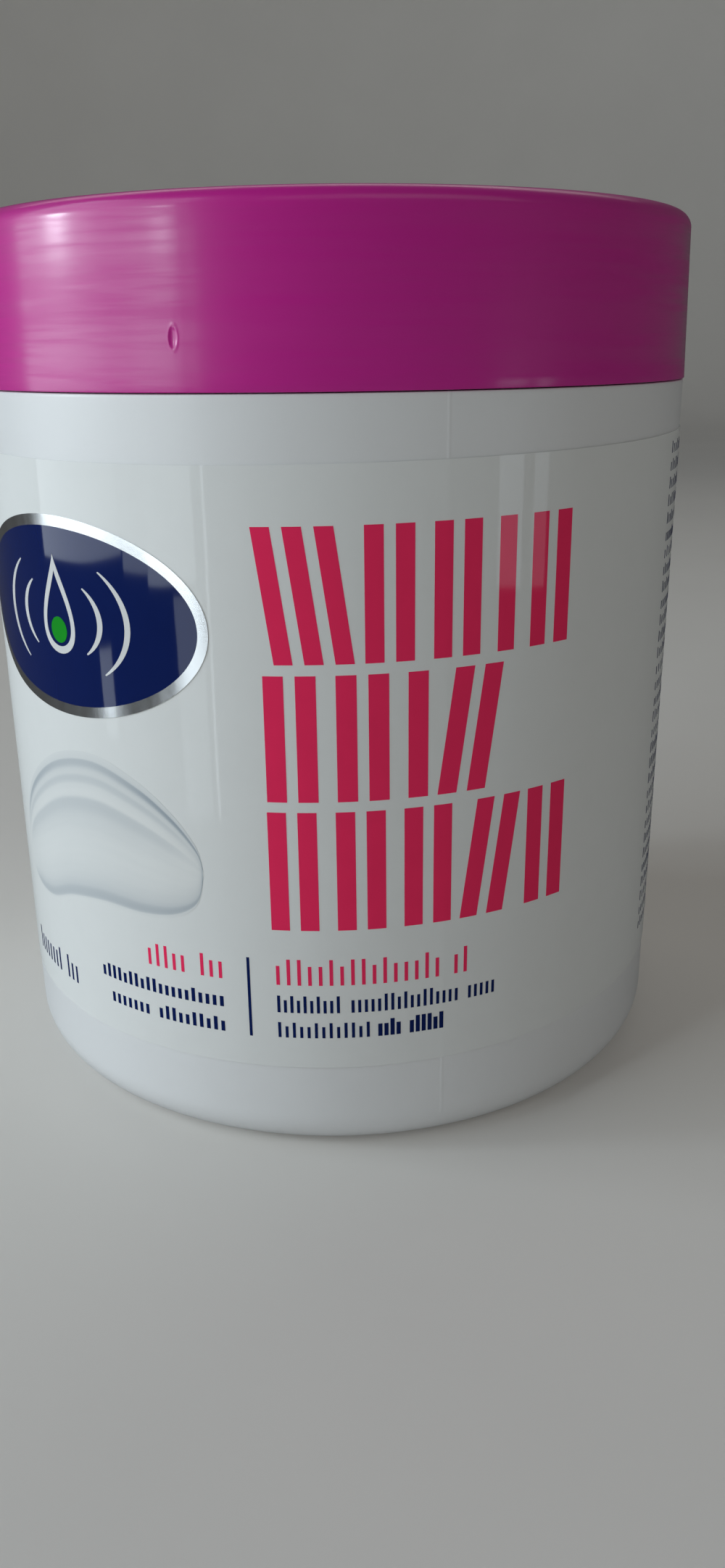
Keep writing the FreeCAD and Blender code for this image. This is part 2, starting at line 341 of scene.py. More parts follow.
def white_moulding():
    """Satin white plastic with a fine orange peel and faint scuffs."""
    white = settings("colours").white_moulding
    finish = Finish(
        "white_moulding", IOR=1.5, Subsurface_Weight=0.12, Subsurface_Radius=(0.6, 0.6, 0.6),
        Subsurface_Scale=0.002,
    )
    position = finish.place()
    finish.cloudy(position, white, 60.0, 0.96)
    finish.rough(0.30 + 0.10 * finish.noise(position, 220.0))
    finish.bump(finish.noise(position, 2600.0, 2.0), 0.004 * MM)
    return finish.material


def glossed(name, gloss):
    """A matt colour under a clear gloss."""
    return Finish(
        name, IOR=1.5, Specular_IOR_Level=0.0, Coat_Weight=gloss, Coat_Roughness=GLOSS_ROUGHNESS,
        Coat_IOR=1.5,
    )


def printed(name, rgb, depth, gloss):
    """Ink or film under a clear gloss: slightly uneven colour and the film's long soft ripples."""
    finish = glossed(name, gloss)
    position = finish.place()
    finish.cloudy(position, rgb, 320.0, 1 - depth, 1 + depth, 4.0)
    finish.rough(0.40 + 0.08 * finish.noise(position, 900.0))
    stretched = finish.stretch(position, (1.0, 1.0, 0.12))
    finish.bump(finish.noise(stretched, 420.0, 2.0), 0.010 * MM)
    return finish.material


def magenta_moulding():
    """Satin magenta plastic with fine turning lines left by the mould."""
    magenta = settings("colours").magenta
    finish = Finish(
        "magenta_moulding", IOR=1.5, Specular_IOR_Level=0.35, Coat_Roughness=0.17,
        Subsurface_Weight=0.05, Subsurface_Radius=(1.0, 0.3, 0.6), Subsurface_Scale=0.001,
    )
    position = finish.place()
    round_the_lid = (0.05, 0.05, 1.0)
    cloud = finish.noise(position, 45.0)
    bands = finish.noise(finish.stretch(position, round_the_lid), 260.0, 3.0, 0.55)
    rings = finish.noise(finish.stretch(position, round_the_lid), 1500.0, 3.0, 0.6)
    drift = 0.6 * cloud + 0.4 * bands
    finish.base(finish.mix(drift, shade(magenta, 0.92), shade(magenta, 1.06)))
    finish.rough(0.26 + 0.16 * bands + 0.08 * rings)
    streaks = 0.65 * bands + 0.35 * rings
    shine = ((0.0, 0.3), (0.4, 0.35), (0.5, 0.7), (0.6, 1.0), (1.0, 1.0))
    finish.coat(finish.ramp(streaks, shine))
    finish.bump(bands + 0.35 * rings + 0.10 * finish.noise(position, 3000.0, 1.0), 0.03 * MM)
    return finish.material


def foil():
    """Bright foil with fine brushed breaks in its shine."""
    finish = Finish("bright_foil", Metallic=1.0, Coat_Weight=0.6, Coat_Roughness=0.05)
    position = finish.place()
    streak = finish.noise(finish.stretch(position, (1.0, 1.0, 0.3)), 700.0, 3.0)
    finish.base(finish.mix(streak, shade(settings("colours").foil, 0.9), settings("colours").foil))
    finish.rough(0.12 + 0.14 * streak)
    finish.bump(finish.noise(position, 900.0, 3.0), 0.006 * MM)
    return finish.material


def foam():
    """Closed-cell foam skin: tiny cells and a soft cloudiness."""
    liner = settings("colours").liner
    finish = Finish("liner_foam", IOR=1.45)
    position = finish.place()
    inputs = {"Vector": position, "Scale": 2400.0}
    cells = finish.node("ShaderNodeTexVoronoi", {"feature": "F1"}, inputs)
    finish.cloudy(position, liner, 130.0, 0.93)
    finish.rough(0.62 + 0.2 * cells)
    finish.bump(cells, 0.05 * MM)
    return finish.material


def cream_finish():
    """Soft glossy cream."""
    cream = settings("colours").cream
    finish = Finish(
        "soft_cream", IOR=1.42, Subsurface_Weight=0.6, Subsurface_Radius=(1.0, 0.8, 0.6),
        Subsurface_Scale=0.002, Coat_Weight=0.3, Coat_Roughness=0.2,
    )
    position = finish.place()
    finish.cloudy(position, cream, 90.0, 0.97, detail=4.0)
    finish.rough(0.30 + 0.12 * finish.noise(position, 400.0))
    finish.bump(finish.noise(position, 240.0, 5.0), 0.12 * MM)
    return finish.material


# --- Mesh building ----------------------------------------------------------------------------


def piece_from(name, points, faces, material, body, spots=None):
    """An object from mesh data, riding on a CAD body."""
    mesh = bpy.data.meshes.new(name)
    mesh.from_pydata(points, [], faces)
    mesh.validate()
    if spots:
        layer = mesh.uv_layers.new(name="print_grid")
        for loop in mesh.loops:
            layer.data[loop.index].uv = spots[loop.vertex_index]
    mesh.materials.append(material)
    mesh.shade_smooth()
    mesh.set_sharp_from_angle(angle=SHARP_ANGLE)
    piece = bpy.data.objects.new(name, mesh)
    bpy.context.scene.collection.objects.link(piece)
    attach(piece, body)
    return piece


def arc(centre, radius, start, end, steps=8):
    """Points of a rounding in the (radius, height) plane; angles in degrees from outward."""
    points = []
    for step in range(steps + 1):
        angle = math.radians(start + (end - start) * step / steps)
        points.append((centre[0] + radius * math.cos(angle), centre[1] + radius * math.sin(angle)))
    return points


def wall_radius(height):
    """Outside of the drafted wall at a height."""
    sizes = settings("body")
    widening = JAR_HIGH.x - sizes.foot_corner_radius
    return sizes.foot_corner_radius + widening * height / sizes.shoulder_height


MOULD_WAVES = (
    # size in metres, waves in a turn, phase, lean with height per metre
    (0.016 * MM, 9, 0.7, 20),
    (0.009 * MM, 17, 2.1, -35),
    (0.005 * MM, 34, 4.0, 25),
    (0.006 * MM, 5, 1.1, 420),
    (0.003 * MM, 13, 0.2, -640),
)


def waves(here, height):
    """Slow unevenness of the moulded wall."""
    total = 0
    for size, count, phase, lean in MOULD_WAVES:
        total += size * math.sin(count * here + phase + lean * height)
    return total


def turn_between(first, second):
    return (first - second + math.pi) % FULL_TURN - math.pi


def parting_ridge(here, half_width):
    """The mould's parting line, a fine ridge on both sides of the jar, 1 at its crest."""
    middle = settings("body").parting_bearing
    reach = min(abs(turn_between(here, middle + side)) for side in (0, math.pi))
    return math.exp(-((reach * JAR_HIGH.x / half_width) ** 2))


def bare_ripple(here, height):
    """How far the bare wall stands out from a true cone."""
    sizes = settings("body")
    return waves(here, height) + sizes.parting_height * parting_ridge(here, sizes.parting_half_width)


def film_ripple(here, height):
    """How far the label stands out from a true cone: the film softens the parting line."""
    label = settings("label")
    ridge = settings("body").parting_height * label.ridge_share
    return waves(here, height) + ridge * parting_ridge(here, label.ridge_half_width)


def label_rise(here):
    """How far the label, put on a little askew, stands above its level height at a bearing."""
    label = settings("label")
    return label.tilt * (math.sin(here - label.tilt_bearing) + math.sin(label.tilt_bearing))


def on_label(here, height, out):
    """A point of the askew label at a bearing and level height, standing out from the wall."""
    height += label_rise(here)
    radius = wall_radius(height) + film_ripple(here, height) + out
    return (radius * math.sin(here), -radius * math.cos(here), height)


def sheet_faces(first, across, up):
    """Faces of a thin closed sheet: a grid of points for its outer side, then one for its inner."""
    row = across + 1
    layer = row * (up + 1)
    faces = []
    for j in range(up):
        for i in range(across):
            corner = first + j * row + i
            quad = (corner, corner + 1, corner + row + 1, corner + row)
            faces.append(quad)
            faces.append(tuple(index + layer for index in quad[::-1]))
    border = [first + i for i in range(across)]
    border += [first + across + j * row for j in range(up)]
    border += [first + up * row + across - i for i in range(across)]
    border += [first + (up - j) * row for j in range(up)]
    for index, corner in enumerate(border):
        after = border[(index + 1) % len(border)]
        faces.append((corner, corner + layer, after + layer, after))
    return faces


def fine_bearings(start, end, ridge_half_width, extra=()):
    """Bearings, closer together at the parting lines and at each extra (middle, reach, step)."""
    sizes = settings("body")
    count = max(2, math.ceil((end - start) / TURN_STEP))
    found = {round(start + (end - start) * index / count, 7) for index in range(count + 1)}
    ridge_reach = 2.2 * ridge_half_width / JAR_HIGH.x
    places = list(extra)
    for side in (0, math.pi):
        places.append((sizes.parting_bearing + side, ridge_reach, ridge_reach / 5))
    for middle, reach, fine in places:
        for turn in (-FULL_TURN, 0, FULL_TURN):
            steps = int(round(2 * reach / fine))
            for index in range(steps + 1):
                here = middle + turn - reach + index * fine
                if start < here < end:
                    found.add(round(here, 7))
    ordered = sorted(found)
    kept = [ordered[0]]
    for here in ordered[1:-1]:
        if here - kept[-1] > LEAST_STEP and ordered[-1] - here > LEAST_STEP:
            kept.append(here)
    return kept + [ordered[-1]]


def lathe(outline, bearings, reshape=None):
    """Points and faces of a solid turned from an open outline whose two ends lie on the axis."""
    turns = bearings[:-1]
    points = [(0, 0, outline[0][1]), (0, 0, outline[-1][1])]
    rows = outline[1:-1]
    for radius, height in rows:
        for here in turns:
            out = radius + (reshape(here, radius, height) if reshape else 0)
            points.append((out * math.sin(here), -out * math.cos(here), height))
    count = len(turns)
    faces = []
    last = 2 + (len(rows) - 1) * count
    for index in range(count):
        after = (index + 1) % count
        faces.append((0, 2 + after, 2 + index))
        faces.append((1, last + index, last + after))
        for row in range(len(rows) - 1):
            low = 2 + row * count
            faces.append((low + index, low + after, low + count + after, low + count + index))
    return points, faces


def add_ridges(points, faces, wall, outward, low, turns):
    """Adds the thread's helical ridges, set a little into the wall, with ends that fade away."""
    thread = settings("thread")
    steps = max(8, int(turns * 180))
    direction = 1 if outward else -1
    for start in range(thread.starts):
        first = len(points)
        for step in range(steps + 1):
            share = step / steps
            fade = min(1.0, min(share, 1 - share) * turns * 14) ** 0.5
            angle = math.pi / 2 + FULL_TURN * (turns * share + start / thread.starts)
            middle = low + thread.lead * turns * share
            section = (
                (-thread.sink, -thread.root / 2),
                (thread.depth * fade, -thread.crest / 2 * fade - 0.0001),
                (thread.depth * fade, thread.crest / 2 * fade + 0.0001),
                (-thread.sink, thread.root / 2),
            )
            for reach, rise in section:
                out = wall + direction * reach
                points.append((out * math.sin(angle), -out * math.cos(angle), middle + rise))
        for step in range(steps):
            for side in range(4):
                here = first + 4 * step
                after = (side + 1) % 4
                quad = (here + side, here + after, here + 4 + after, here + 4 + side)
                faces.append(quad if outward else quad[::-1])
        start_cap = tuple(range(first, first + 4))
        end_cap = tuple(range(first + 4 * steps, first + 4 * steps + 4))
        faces.append(start_cap[::-1] if outward else start_cap)
        faces.append(end_cap if outward else end_cap[::-1])


class Film:
    """Thin closed patches that follow the jar's wall, collected into one piece."""

    def __init__(self, lift, thickness):
        self.lift = lift
        self.thickness = thickness
        self.points = []
        self.faces = []
        self.spots = []

    def patch(self, place, across, up):
        """Adds a patch; place(u, v) gives its run round the wall and its height, u and v from 0 to 1."""
        self.faces += sheet_faces(len(self.points), across, up)
        for out in (self.lift + self.thickness, self.lift):
            for j in range(up + 1):
                for i in range(across + 1):
                    u, v = i / across, j / up
                    run, height = place(u, v)
                    self.points.append(on_label(run / JAR_HIGH.x, height, out))
                    self.spots.append((u, v))

    def box(self, left, right, low, high, lean=0.0):
        """A bar; lean moves its top to the right."""
        across = max(1, math.ceil((right - left) / (0.5 * MM)))
        up = max(1, math.ceil((high - low) / (3 * MM)))

        def place(u, v):
            return left + (right - left) * u + lean * (v - 0.5), low + (high - low) * v

        self.patch(place, across, up)

    def oval(self, run, height, half_width, half_height):
        def place(u, v):
            share = math.cos(math.pi * (1 - u))
            reach = max(0.004, math.sqrt(max(0.0, 1 - share * share)))
            return run + half_width * share, height + half_height * reach * (2 * v - 1)

        self.patch(place, 72, 10)

    def piece(self, name, material, slot):
        return piece_from(name, self.points, self.faces, material, "jar", self.spots)


def ink_film(label):
    """Patches of ink on top of the label."""
    return Film(label.film + PRINT_GAP, label.ink)


# --- Pieces ----------------------------------------------------------------------------------


class CREAMJAR_OT_body(bpy.types.Operator):
    """Build the moulded body with its neck thread"""

    bl_idname = "cream_jar.body"
    bl_label = "Jar body"

    def execute(self, context):
        sizes = settings("body")
        edge = sizes.edge_rounding
        rounding = sizes.foot_rounding
        step_radius = sizes.foot_ring_radius - sizes.base_step / 2
        foot_wall = wall_radius(rounding)
        shoulder_wall = wall_radius(sizes.shoulder_height)
        rim = JAR_HIGH.z
        rise = sizes.base_rise - sizes.base_step
        outline = [(0, sizes.base_rise)]
        for index in range(1, 13):
            radius = step_radius * index / 12
            outline.append((radius, sizes.base_step + rise * (1 - (radius / step_radius) ** 2)))
        outline += arc((sizes.foot_ring_radius + edge, edge), edge, 180, 270, 5)
        outline += arc((foot_wall - rounding, rounding), rounding, -90, 0, 16)
        rows = 28
        wall_top = sizes.shoulder_height - edge
        for index in range(1, rows + 1):
            height = rounding + (wall_top - rounding) * index / rows
            outline.append((wall_radius(height), height))
        outline += arc((shoulder_wall - edge / 2, wall_top + edge / 2), edge / 2, 15, 90, 5)
        outline += arc((sizes.neck_radius + edge, sizes.shoulder_height + edge), edge, 270, 180, 5)
        outline += arc((sizes.neck_radius - edge, rim - edge), edge, 0, 90, 5)
        inside = sizes.neck_radius - sizes.wall
        outline += arc((inside + edge, rim - edge), edge, 90, 180, 5)
        outline.append((inside, sizes.shoulder_height - sizes.wall / 2))
        outline.append((shoulder_wall - sizes.wall, sizes.shoulder_height - 2 * sizes.wall))
        bend = rounding - sizes.wall
        floor_side = sizes.foot_corner_radius - sizes.wall
        outline += arc((floor_side - bend, sizes.floor_wall + bend), bend, 0, -90, 10)
        outline.append((sizes.foot_ring_radius + sizes.wall / 2, sizes.floor_wall))
        outline.append((step_radius, sizes.base_step + sizes.floor_wall))
        outline.append((0, sizes.base_rise + sizes.floor_wall))

        skin = 0.2 * MM
        smooth_foot = 2 * MM

        def reshape(here, radius, height):
            on_outside = radius > wall_radius(height) - skin and height < sizes.shoulder_height
            fade = min(1.0, max(0.0, height - smooth_foot) / rounding)
            return bare_ripple(here, height) * fade if on_outside else 0

        bearings = fine_bearings(-math.pi, math.pi, sizes.parting_half_width)
        points, faces = lathe(outline, bearings, reshape)
        thread = settings("thread")
        add_ridges(points, faces, sizes.neck_radius, True, thread.neck_low, thread.neck_turns)
        piece = piece_from("jar_moulding", points, faces, white_moulding(), "jar")
        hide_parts("jar_body")
        return {"FINISHED"}


class CREAMJAR_OT_cream(bpy.types.Operator):
    """Build the swirled cream"""

    bl_idname = "cream_jar.cream"
    bl_label = "Cream"

    def execute(self, context):
        sizes = settings("body")
        gap = 0.05 * MM
        level = CREAM_HIGH.z
        edge = sizes.neck_radius - sizes.wall - gap
        side = JAR_HIGH.x - sizes.wall - gap
        floor_side = sizes.foot_corner_radius - sizes.wall - gap
        bend = sizes.foot_rounding - sizes.wall
        low = sizes.floor_wall + gap
        step_radius = sizes.foot_ring_radius - sizes.base_step / 2
        rings = 90
        outline = [(0, level)]
        outline += [(edge * index / rings, level) for index in range(1, rings + 1)]
        outline.append((edge, level - 1.2 * MM))
        outline.append((edge, sizes.shoulder_height - sizes.wall / 2 - gap))
        outline.append((side, sizes.shoulder_height - 2 * sizes.wall - gap))
        outline += arc((floor_side - bend, low + bend), bend, 0, -90, 8)
        outline.append((step_radius, sizes.base_step + low))
        outline.append((0, sizes.base_rise + low))
        outline.reverse()
        turns = 240
        bearings = [index * FULL_TURN / turns - math.pi for index in range(turns + 1)]
        points, faces = lathe(outline, bearings)
        moved = []
        for x, y, z in points:
            if z > level - 0.01 * MM:
                z = level + self.swirl(math.hypot(x, y) / edge, math.atan2(x, -y), sizes.swirl_height)
            moved.append((x, y, z))
        piece = piece_from("cream_swirl", moved, faces, cream_finish(), "jar")
        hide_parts("cream_fill")
        return {"FINISHED"}

    def swirl(self, share, here, size):
        """The swirled surface: a spiral crest, a soft peak and an edge that clings to the wall."""
        spiral = 0.5 + 0.5 * math.cos(here - 9.5 * share - 1.1)
        crest = size * spiral ** 1.6 * math.sin(math.pi * min(1.0, share * 1.08)) ** 0.7
        peak = 2.4 * size * math.exp(-((share / 0.11) ** 2))
        cling = 0.9 * size * max(0.0, (share - 0.9) / 0.1) ** 2
        dish = -0.8 * size * (1 - share * share)
        unevenness = 0.12 * size * math.sin(5 * here + 14 * share) * share
        return (crest + peak + cling + dish + unevenness) * (1 if share < 0.999 else 0.6)


class CREAMJAR_OT_label(bpy.types.Operator):
    """Build the wrap label with its lapped seam"""

    bl_idname = "cream_jar.label"
    bl_label = "Wrap label"

    def execute(self, context):
        label = settings("label")
        start = label.seam_bearing
        end = start + FULL_TURN + label.seam_overlap
        seam = (end - label.seam_overlap * 1.5, label.seam_overlap, 0.006)
        bearings = fine_bearings(start, end, label.ridge_half_width, [seam])
        rows = 32
        rise = label.seam_overlap * 0.4
        lap_start = end - label.seam_overlap - rise
        lap_height = 1.1 * label.film
        points = []
        for out in (label.film, 0.0):
            for row in range(rows + 1):
                height = LABEL_LOW.z + (LABEL_HIGH.z - LABEL_LOW.z) * row / rows
                for here in bearings:
                    lap = min(1.0, max(0.0, (here - lap_start) / rise))
                    lift = lap_height * lap * lap * (3 - 2 * lap)
                    points.append(on_label(here, height, out + lift + FILM_GAP))
        faces = sheet_faces(0, len(bearings) - 1, rows)
        material = printed("label_film", settings("colours").label_white, 0.015, GLOSS_LABEL)
        piece = piece_from("wrap_film", points, faces, material, "jar")
        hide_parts("wrap_label")
        return {"FINISHED"}


BAR_ROWS = (
    # piece name, low, high, left and right edge in millimetres, bars: | upright, / and \\ leaning
    ("bars_upper", 61.0, 75.4, -7.7, 27.2, "\\\\\\ || || | ||"),
    ("bars_middle", 45.6, 59.8, -8.0, 17.6, "|| || | //"),
    ("bars_lower", 30.1, 44.4, -8.1, 27.9, "|| || || // ||"),
)

MARK_ROWS = (
    # ink, base, left edge, right edge and height in millimetres, stroke width, strokes in each word
    ("crimson", 23.1, -7.8, 11.3, 3.3, 0.42, (16,)),
    ("crimson", 23.1, 13.2, 14.8, 3.3, 0.42, (2,)),
    ("crimson", 23.3, -24.5, -14.4, 2.9, 0.42, (5, 3)),
    ("navy", 19.5, -7.8, 18.5, 2.2, 0.36, (10, 17, 5)),
    ("navy", 16.2, -7.8, 3.0, 2.0, 0.36, (13,)),
    ("navy", 16.2, 4.0, 11.9, 2.2, 0.50, (4, 6)),
    ("navy", 19.6, -32.6, -14.4, 1.8, 0.48, (20,)),
    ("navy", 16.3, -31.2, -14.4, 1.8, 0.48, (7, 10)),
    ("navy", 15.9, -52.0, -38.8, 3.2, 0.42, (8, 3)),
)

RULE = (-11.3, -10.95, 16.1, 26.4)  # left, right, low and high edge in millimetres

BACK_COLUMNS = (
    # left edge, right edge and top in millimetres, number of the first line, lines from one
    # heading to the next
    (50.6, 88.6, 79.0, 1, 60),
    (93.6, 119.0, 74.6, 0, 9),
    (-122.0, -84.0, 74.6, 0, 9),
)

# height and stroke width of the marks and step down to the next line, in millimetres
BACK_HEADING = (1.6, 0.34, 2.6)
BACK_LINE = (1.4, 0.32, 2.1)
BACK_FOOT = 16
WORD_GAP = 1.2  # in strokes


class CREAMJAR_OT_print(bpy.types.Operator):
    """Print the label's bars, rule and small marks"""

    bl_idname = "cream_jar.print"
    bl_label = "Label print"

    def execute(self, context):
        label = settings("label")
        colours = settings("colours")
        inks = {
            "crimson": printed("crimson_ink", colours.crimson, 0.04, GLOSS_LABEL),
            "navy": printed("navy_ink", colours.navy, 0.08, GLOSS_LABEL),
        }
        for name, low, high, left, right, bars in BAR_ROWS:
            row = ink_film(label)
            self.bar_row(row, label, low * MM, high * MM, left * MM, right * MM, bars)
            row.piece(name, inks["crimson"], "label_film")
        chance = random.Random(3)
        for ink, material in inks.items():
            marks = ink_film(label)
            for row_ink, base, left, right, tall, stroke, words in MARK_ROWS:
                if row_ink == ink:
                    self.mark_row(marks, chance, base, left, right, tall, stroke, words)
            if ink == "navy":
                marks.box(*(side * MM for side in RULE))
            marks.piece(ink + "_marks", material, "label_film")
        self.back_panels(label, inks)
        return {"FINISHED"}

    def bar_row(self, row, label, low, high, left, right, bars):
        """Groups of bold bars, as wide as fills the row."""
        lean = {"|": 0.0, "/": label.bar_lean, "\\": -label.bar_lean}
        groups = bars.split()
        count = sum(len(group) for group in groups)
        gaps = (count - len(groups)) * label.bar_gap + (len(groups) - 1) * label.group_gap
        width = (right - left - gaps) / count
        at = left
        for group in groups:
            for mark in group:
                row.box(at, at + width, low, high, lean[mark])
                at += width + label.bar_gap
            at += label.group_gap - label.bar_gap

    def mark_row(self, film, chance, base, left, right, tall, stroke, words):
        """Small upright strokes in groups, of uneven height; sizes in millimetres."""
        sizes = (base, left, right, tall, stroke)
        base, left, right, tall, stroke = (size * MM for size in sizes)
        gaps = WORD_GAP * (len(words) - 1)
        pitch = (right - left - stroke) / (sum(words) + gaps - 1)
        at = left
        for count in words:
            for _ in range(count):
                top = tall * chance.choice((0.74, 0.74, 1.0))
                film.box(at, at + stroke, base, base + top)
                at += pitch
            at += WORD_GAP * pitch

    def back_panels(self, label, inks):
        """Columns of small marks on the back, two of them with crimson headings."""
        chance = random.Random(7)
        marks = ink_film(label)
        headings = ink_film(label)
        for left, right, top, line, lines in BACK_COLUMNS:
            height = top
            while height > BACK_FOOT:
                if line % lines == 0:
                    tall, stroke, drop = BACK_HEADING
                    edge = 0.55 * left + 0.45 * right
                    self.mark_row(headings, chance, height, left, edge, tall, stroke, (9, 6))
                else:
                    tall, stroke, drop = BACK_LINE
                    last = line % lines == lines - 1
                    words = [chance.randint(5, 11) for _ in range(2 if last else 4)]
                    short = 0.5 * (right - left) if last else chance.uniform(0.0, 5.0)
                    self.mark_row(marks, chance, height, left, right - short, tall, stroke, words)
                height -= drop
                line += 1
        marks.piece("back_marks", inks["navy"], "label_film")
        headings.piece("back_headings", inks["crimson"], "label_film")


SMEAR_TOP = (
    # round the wall and up, in millimetres, from the open left end to the tip
    (-52.5, 30.0), (-50.2, 37.6), (-45.5, 43.0), (-38.5, 47.2),
    (-31.0, 48.6), (-24.5, 46.6), (-19.8, 43.3), (-16.8, 39.6), (-16.0, 36.6),
)

SMEAR_BOTTOM = (
    (-52.5, 29.0), (-48.5, 26.6), (-43.5, 26.2), (-37.5, 28.2),
    (-31.0, 29.3), (-24.5, 29.4), (-19.9, 30.3), (-17.0, 32.4), (-16.0, 36.1),
)


# shares of the way across or along the stroke, each with the darkness there
SMEAR_LOW_RIM = ((0.0, 0.0), (0.03, 0.1), (0.06, 0.5), (0.12, 0.3), (0.26, 0.12), (1.0, 0.10))
SMEAR_HIGH_RIM = ((0.0, 0.0), (0.88, 0.0), (0.935, 0.5), (0.955, 0.1), (1.0, 0.0))
SMEAR_HIGH_RIM_FADE = ((0.0, 0.4), (0.2, 0.5), (0.45, 0.15), (0.7, 0.7), (0.9, 1.1), (1.0, 0.5))
SMEAR_RIDGE_FADE = ((0.0, 1.0), (0.6, 1.0), (0.86, 0.2), (1.0, 0.0))
SMEAR_TIP = ((0.0, 0.0), (0.82, 0.0), (0.93, 0.25), (0.965, 0.6), (0.985, 0.12), (1.0, 0.0))
SMEAR_FADE = ((0.0, 0.0), (0.05, 0.1), (0.16, 0.75), (0.3, 0.9), (0.94, 0.9), (1.0, 0.0))
SMEAR_RIDGES = (
    (0.0, 0.0), (0.42, 0.02), (0.58, 0.14), (0.68, 0.28), (0.725, 0.0), (0.78, 0.04),
    (0.83, 0.24), (0.865, 0.08), (0.90, 0.20), (0.935, 0.30), (0.955, 0.06), (1.0, 0.0),
)


def along(points, share):
    """A point on the smooth curve through points, share from 0 to 1."""
    at = share * (len(points) - 1)
    index = min(int(at), len(points) - 2)
    part = at - index
    before = points[max(index - 1, 0)]
    first = points[index]
    second = points[index + 1]
    after = points[min(index + 2, len(points) - 1)]
    found = []
    for p, a, b, q in zip(before, first, second, after):
        bend = (2 * p - 5 * a + 4 * b - q) * part + (3 * a - p - 3 * b + q) * part * part
        found.append(a + 0.5 * part * ((b - p) + bend))
    return found


class CREAMJAR_OT_artwork(bpy.types.Operator):
    """Print the cream smear on the label"""

    bl_idname = "cream_jar.artwork"
    bl_label = "Cream artwork"

    def execute(self, context):
        film = ink_film(settings("label"))
        film.patch(self.smear, 72, 36)
        film.piece("smear_print", self.ink(), "label_film")
        return {"FINISHED"}

    def smear(self, u, v):
        """A broad stroke of cream: u from open end to tip, v from lower to upper side."""
        low = along(SMEAR_BOTTOM, u)
        high = along(SMEAR_TOP, u)
        return tuple((a + (b - a) * v) * MM for a, b in zip(low, high))

    def ink(self):
        """Painted cream: grey rim, soft light streaks along it, fading into the label on the left."""
        white = settings("colours").label_white
        finish = glossed("smear_ink", GLOSS_LABEL)
        grid = finish.node("ShaderNodeUVMap", {"uv_map": "print_grid"})
        u, v = (finish.node("ShaderNodeSeparateXYZ", None, {0: grid}, index) for index in range(2))
        low_rim = finish.ramp(v, SMEAR_LOW_RIM)
        ridges = finish.ramp(v, SMEAR_RIDGES) * finish.ramp(u, SMEAR_RIDGE_FADE)
        high_rim = finish.ramp(v, SMEAR_HIGH_RIM) * finish.ramp(u, SMEAR_HIGH_RIM_FADE)
        tip = finish.ramp(u, SMEAR_TIP)
        fade = finish.ramp(u, SMEAR_FADE)
        streaks = finish.noise(finish.stretch(grid, (1.4, 11.0, 1.0)), 1.0, 2.0)
        dark = 1.3 * (low_rim + ridges + high_rim + 0.12 * streaks) * fade + tip
        finish.base(finish.mix(dark, white, settings("colours").smear_shade))
        finish.rough(0.36 + 0.05 * streaks)
        return finish.material


DROP_INSIDE = 3.3 * MM  # reach of the droplet's outline on its inner side
DROP_STROKE = 1.0 * MM
RIPPLE_HALF_WIDTH = 7.2 * MM
RIPPLE_HALF_HEIGHT = 5.0 * MM
RIPPLE_REACHES = (1.0, 1.55)
ACCENT_RADIUS = 1.5 * MM
ACCENT_DROP = 1.5 * MM  # from the badge's middle down to the middle of its accent


class CREAMJAR_OT_badge(bpy.types.Operator):
    """Build the oval foil badge and its emblem"""

    bl_idname = "cream_jar.badge"
    bl_label = "Badge"

    def execute(self, context):
        label = settings("label")
        colours = settings("colours")
        run = label.badge_bearing * JAR_HIGH.x
        height = label.badge_height
        rim = label.badge_rim
        plate = Film(label.film + PRINT_GAP, label.badge_film)
        plate.oval(run, height, label.badge_half_width, label.badge_half_height)
        badge = plate.piece("badge_plate", foil(), "badge_foil")
        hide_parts("badge_foil")
        lift = label.film + label.badge_film + 2 * PRINT_GAP
        field = Film(lift, label.ink)
        field.oval(run, height, label.badge_half_width - rim, label.badge_half_height - rim)
        navy = printed("badge_navy", colours.navy, 0.06, GLOSS_BADGE)
        field.piece("badge_field", navy, "badge_foil")
        lift = lift + label.ink + PRINT_GAP
        emblem = Film(lift, label.ink)
        emblem.patch(self.drop_ring(run, height), 64, 2)
        for reach in RIPPLE_REACHES:
            for side in (-1, 1):
                emblem.patch(self.ripple_arc(run, height, reach, side), 28, 2)
        white = printed("badge_white", shade(colours.foil, 0.85), 0.03, GLOSS_BADGE)
        emblem.piece("badge_emblem", white, "badge_foil")
        accent = Film(lift, label.ink)
        accent.oval(run, height - ACCENT_DROP, ACCENT_RADIUS, ACCENT_RADIUS)
        green = printed("badge_green", colours.green, 0.08, GLOSS_BADGE)
        accent.piece("badge_accent", green, "badge_foil")
        return {"FINISHED"}

    def drop_ring(self, run, height):
        """A droplet's outline: round below, its ends meeting in a point above; v runs outwards."""

        def place(u, v):
            angle = FULL_TURN * (0.01 + 0.98 * u)
            reach = DROP_INSIDE + DROP_STROKE * v
            narrow = math.sin(angle / 2) ** 1.5
            rise = reach * (0.35 + 1.2 * math.cos(angle)) + 0.25 * reach * (1 - narrow)
            return run + reach * math.sin(angle) * narrow, height - 0.6 * MM + rise

        return place

    def ripple_arc(self, run, height, reach, side):
        """One of the ripples beside the droplet."""

        def place(u, v):
            angle = math.radians(-48 + 96 * u)
            taper = 0.11 * math.sin(math.pi * (0.04 + 0.92 * u)) ** 0.6
            out = reach + side * taper * (0.5 - v)
            wide = side * RIPPLE_HALF_WIDTH * out * math.cos(angle)
            return run + wide, height + side * RIPPLE_HALF_HEIGHT * out * math.sin(angle)

        return place


